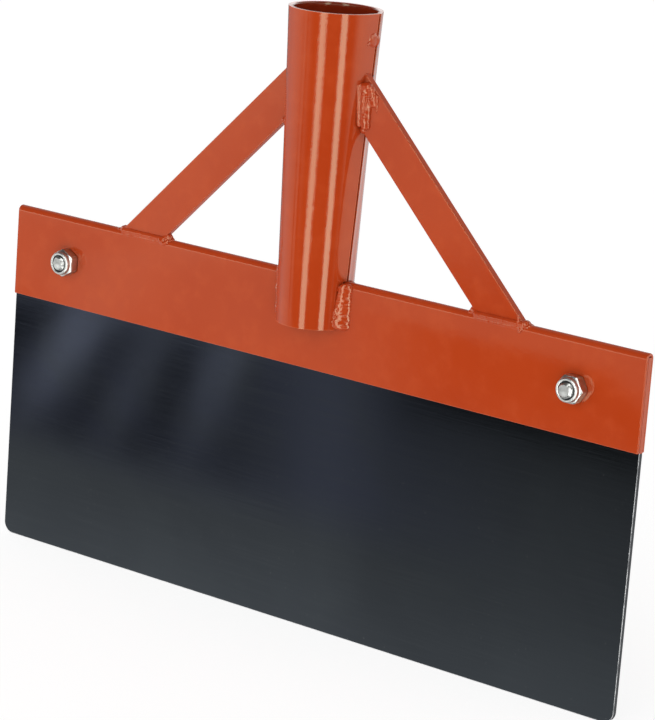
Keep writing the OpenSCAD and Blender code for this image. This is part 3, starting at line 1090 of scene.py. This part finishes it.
def tent(tree, bearing, slant):
    """Walls, the skirt low at the front left, and the bright folds in it."""
    wall = tent_walls(tree, bearing, slant)
    skirt = tent_skirt(tree, bearing, slant)
    window = (tree.rise(bearing, start=-50.0, end=-45.0)
              * tree.fall(bearing, start=-26.0, end=-20.0))
    use = tree.fall(slant, start=-14.10, end=-13.95) * window
    light = wall * (1 - use) + skirt * use
    drop = -13.0 - slant
    for centre, lean, width, levels in FOLDS:
        d = (bearing - (centre - drop * lean)) / width
        light = light + tree.math("EXPONENT", d * d * -0.5) * tree.ramp(slant, levels)
    return light


def room(tree, light, y, height):
    """Fade the tent above and below, and add the table and the glow behind."""
    def band(low, high):
        return tree.rise(height, *low) * tree.fall(height, *high)

    back = tree.rise(y, start=-0.15, end=0.15)
    # the back wall stands higher than the front one
    front_top = tree.fall(height, start=-7.0, end=4.0)
    back_top = tree.fall(height, start=20.0, end=30.0)
    upper = front_top * (1 - back) + back_top * back
    light = light * (0.10 + tree.rise(height, start=-34.0, end=-24.0) * upper * 0.90)
    # bright rim at eye level in front
    light = light + band(low=(-10.0, -5.0), high=(1.0, 7.0)) * (1 - back) * 2.0
    # the table is bright in front, but shaded right under the piece
    table = tree.fall(height, start=-34.0, end=-26.0) * (1 - back)
    table = table * (0.30 + tree.rise(height, start=-68.0, end=-52.0) * 0.70)
    light = light + table
    # behind: a low glow, a soft band at mid height, a faint one higher up
    glow = tree.fall(height, start=-34.0, end=-26.0) * 0.40
    glow = glow + band(low=(3.0, 9.0), high=(20.0, 28.0)) * 1.5
    glow = glow + band(low=(24.0, 30.0), high=(60.0, 75.0)) * 0.36
    return light + glow * back


def strip_lights(tree, bearing, height):
    """Two tall strips, ahead and to the right, shifted above the lean's height."""
    tall = tree.rise(height, start=-60.0, end=-50.0) * tree.fall(height, start=58.0, end=72.0)
    lean = tree.rise(height, start=-13.9, end=-12.9)

    def strip(centre, half, soft, power):
        d = tree.math("ABSOLUTE", bearing - centre)
        return tree.fall(d, start=half - soft, end=half + soft) * power * tall

    return (strip(3.2 + lean * 6.0, half=8.6, soft=3.0, power=5.4)
            + strip(64.0 - lean * 4.0, half=7.8, soft=2.4, power=6.0))


def soft_light(tree, x, y, height):
    """Even light for diffuse rays: stronger from the front, weaker from above and behind."""
    front = tree.math("MAXIMUM", 0.0, y * -0.9 + x * 0.3)
    top = tree.rise(height, start=8.0, end=65.0)
    light = (1.00 + front * 0.55) * (1 - top * 0.72)
    return light * (1 - tree.rise(y, start=0.1, end=0.9) * 0.45)


def build_world():
    """Glossy rays see a tent with strip lights, diffuse rays a soft light, the camera white."""
    world = bpy.data.worlds.new("studio")
    scene.world = world
    tree = Tree(world)
    x, y, z = tree.split(tree.value("ShaderNodeTexCoord", output="Generated"))
    degrees = 180 / math.pi
    azimuth = tree.math("ARCTAN2", y, x) * degrees
    height = tree.math("ARCSINE", z) * degrees
    bearing = (azimuth + 90.0 + 540.0) % 360.0 - 180.0
    slant = height + (bearing + 36.7) * 0.168

    light = room(tree, tent(tree, bearing, slant), y, height)
    strips = strip_lights(tree, bearing, height)
    least, lift = 0.01, 0.0               # light added everywhere
    light = light + least + lift
    light = tree.mix(0.0, light, light)   # grey level as a colour
    strips = tree.mix(1.0, strips, (1.0, 1.0, 0.98), blend="MULTIPLY")
    glossy = tree.mix(1.0, light, strips, blend="ADD")
    soft = soft_light(tree, x, y, height)
    rays = tree.new("ShaderNodeLightPath")
    colour = tree.mix(Value(tree, rays.outputs["Is Glossy Ray"]), soft, glossy)
    colour = tree.mix(Value(tree, rays.outputs["Is Camera Ray"]), colour, (1.0, 1.0, 1.0))
    background = tree.value("ShaderNodeBackground", {"Color": colour, "Strength": 1.0})
    tree.new("ShaderNodeOutputWorld", {0: background})
    world.cycles.sampling_method = "NONE"


# ---------------------------------------------------------------- camera
def build_camera():
    """Long lens from the front right, looking a little down."""
    data = bpy.data.cameras.new("camera")
    data.sensor_width = 36.0
    data.lens = 157.4494
    data.clip_start, data.clip_end = 0.05, 200
    camera = add_object("camera", data)
    right = (0.7892223, 0.6097043, 0.0734081)
    up = (-0.2027454, 0.1458569, 0.9683078)
    backward = (0.5796744, -0.7790933, 0.2387283)
    matrix = Matrix((right, up, backward)).transposed().to_4x4()
    matrix.translation = Vector((0.6996214, -0.9275468, 0.3904400))
    camera.matrix_world = matrix
    scene.camera = camera
    scene.view_settings.view_transform = "Standard"


build_floor()
build_world()
build_camera()
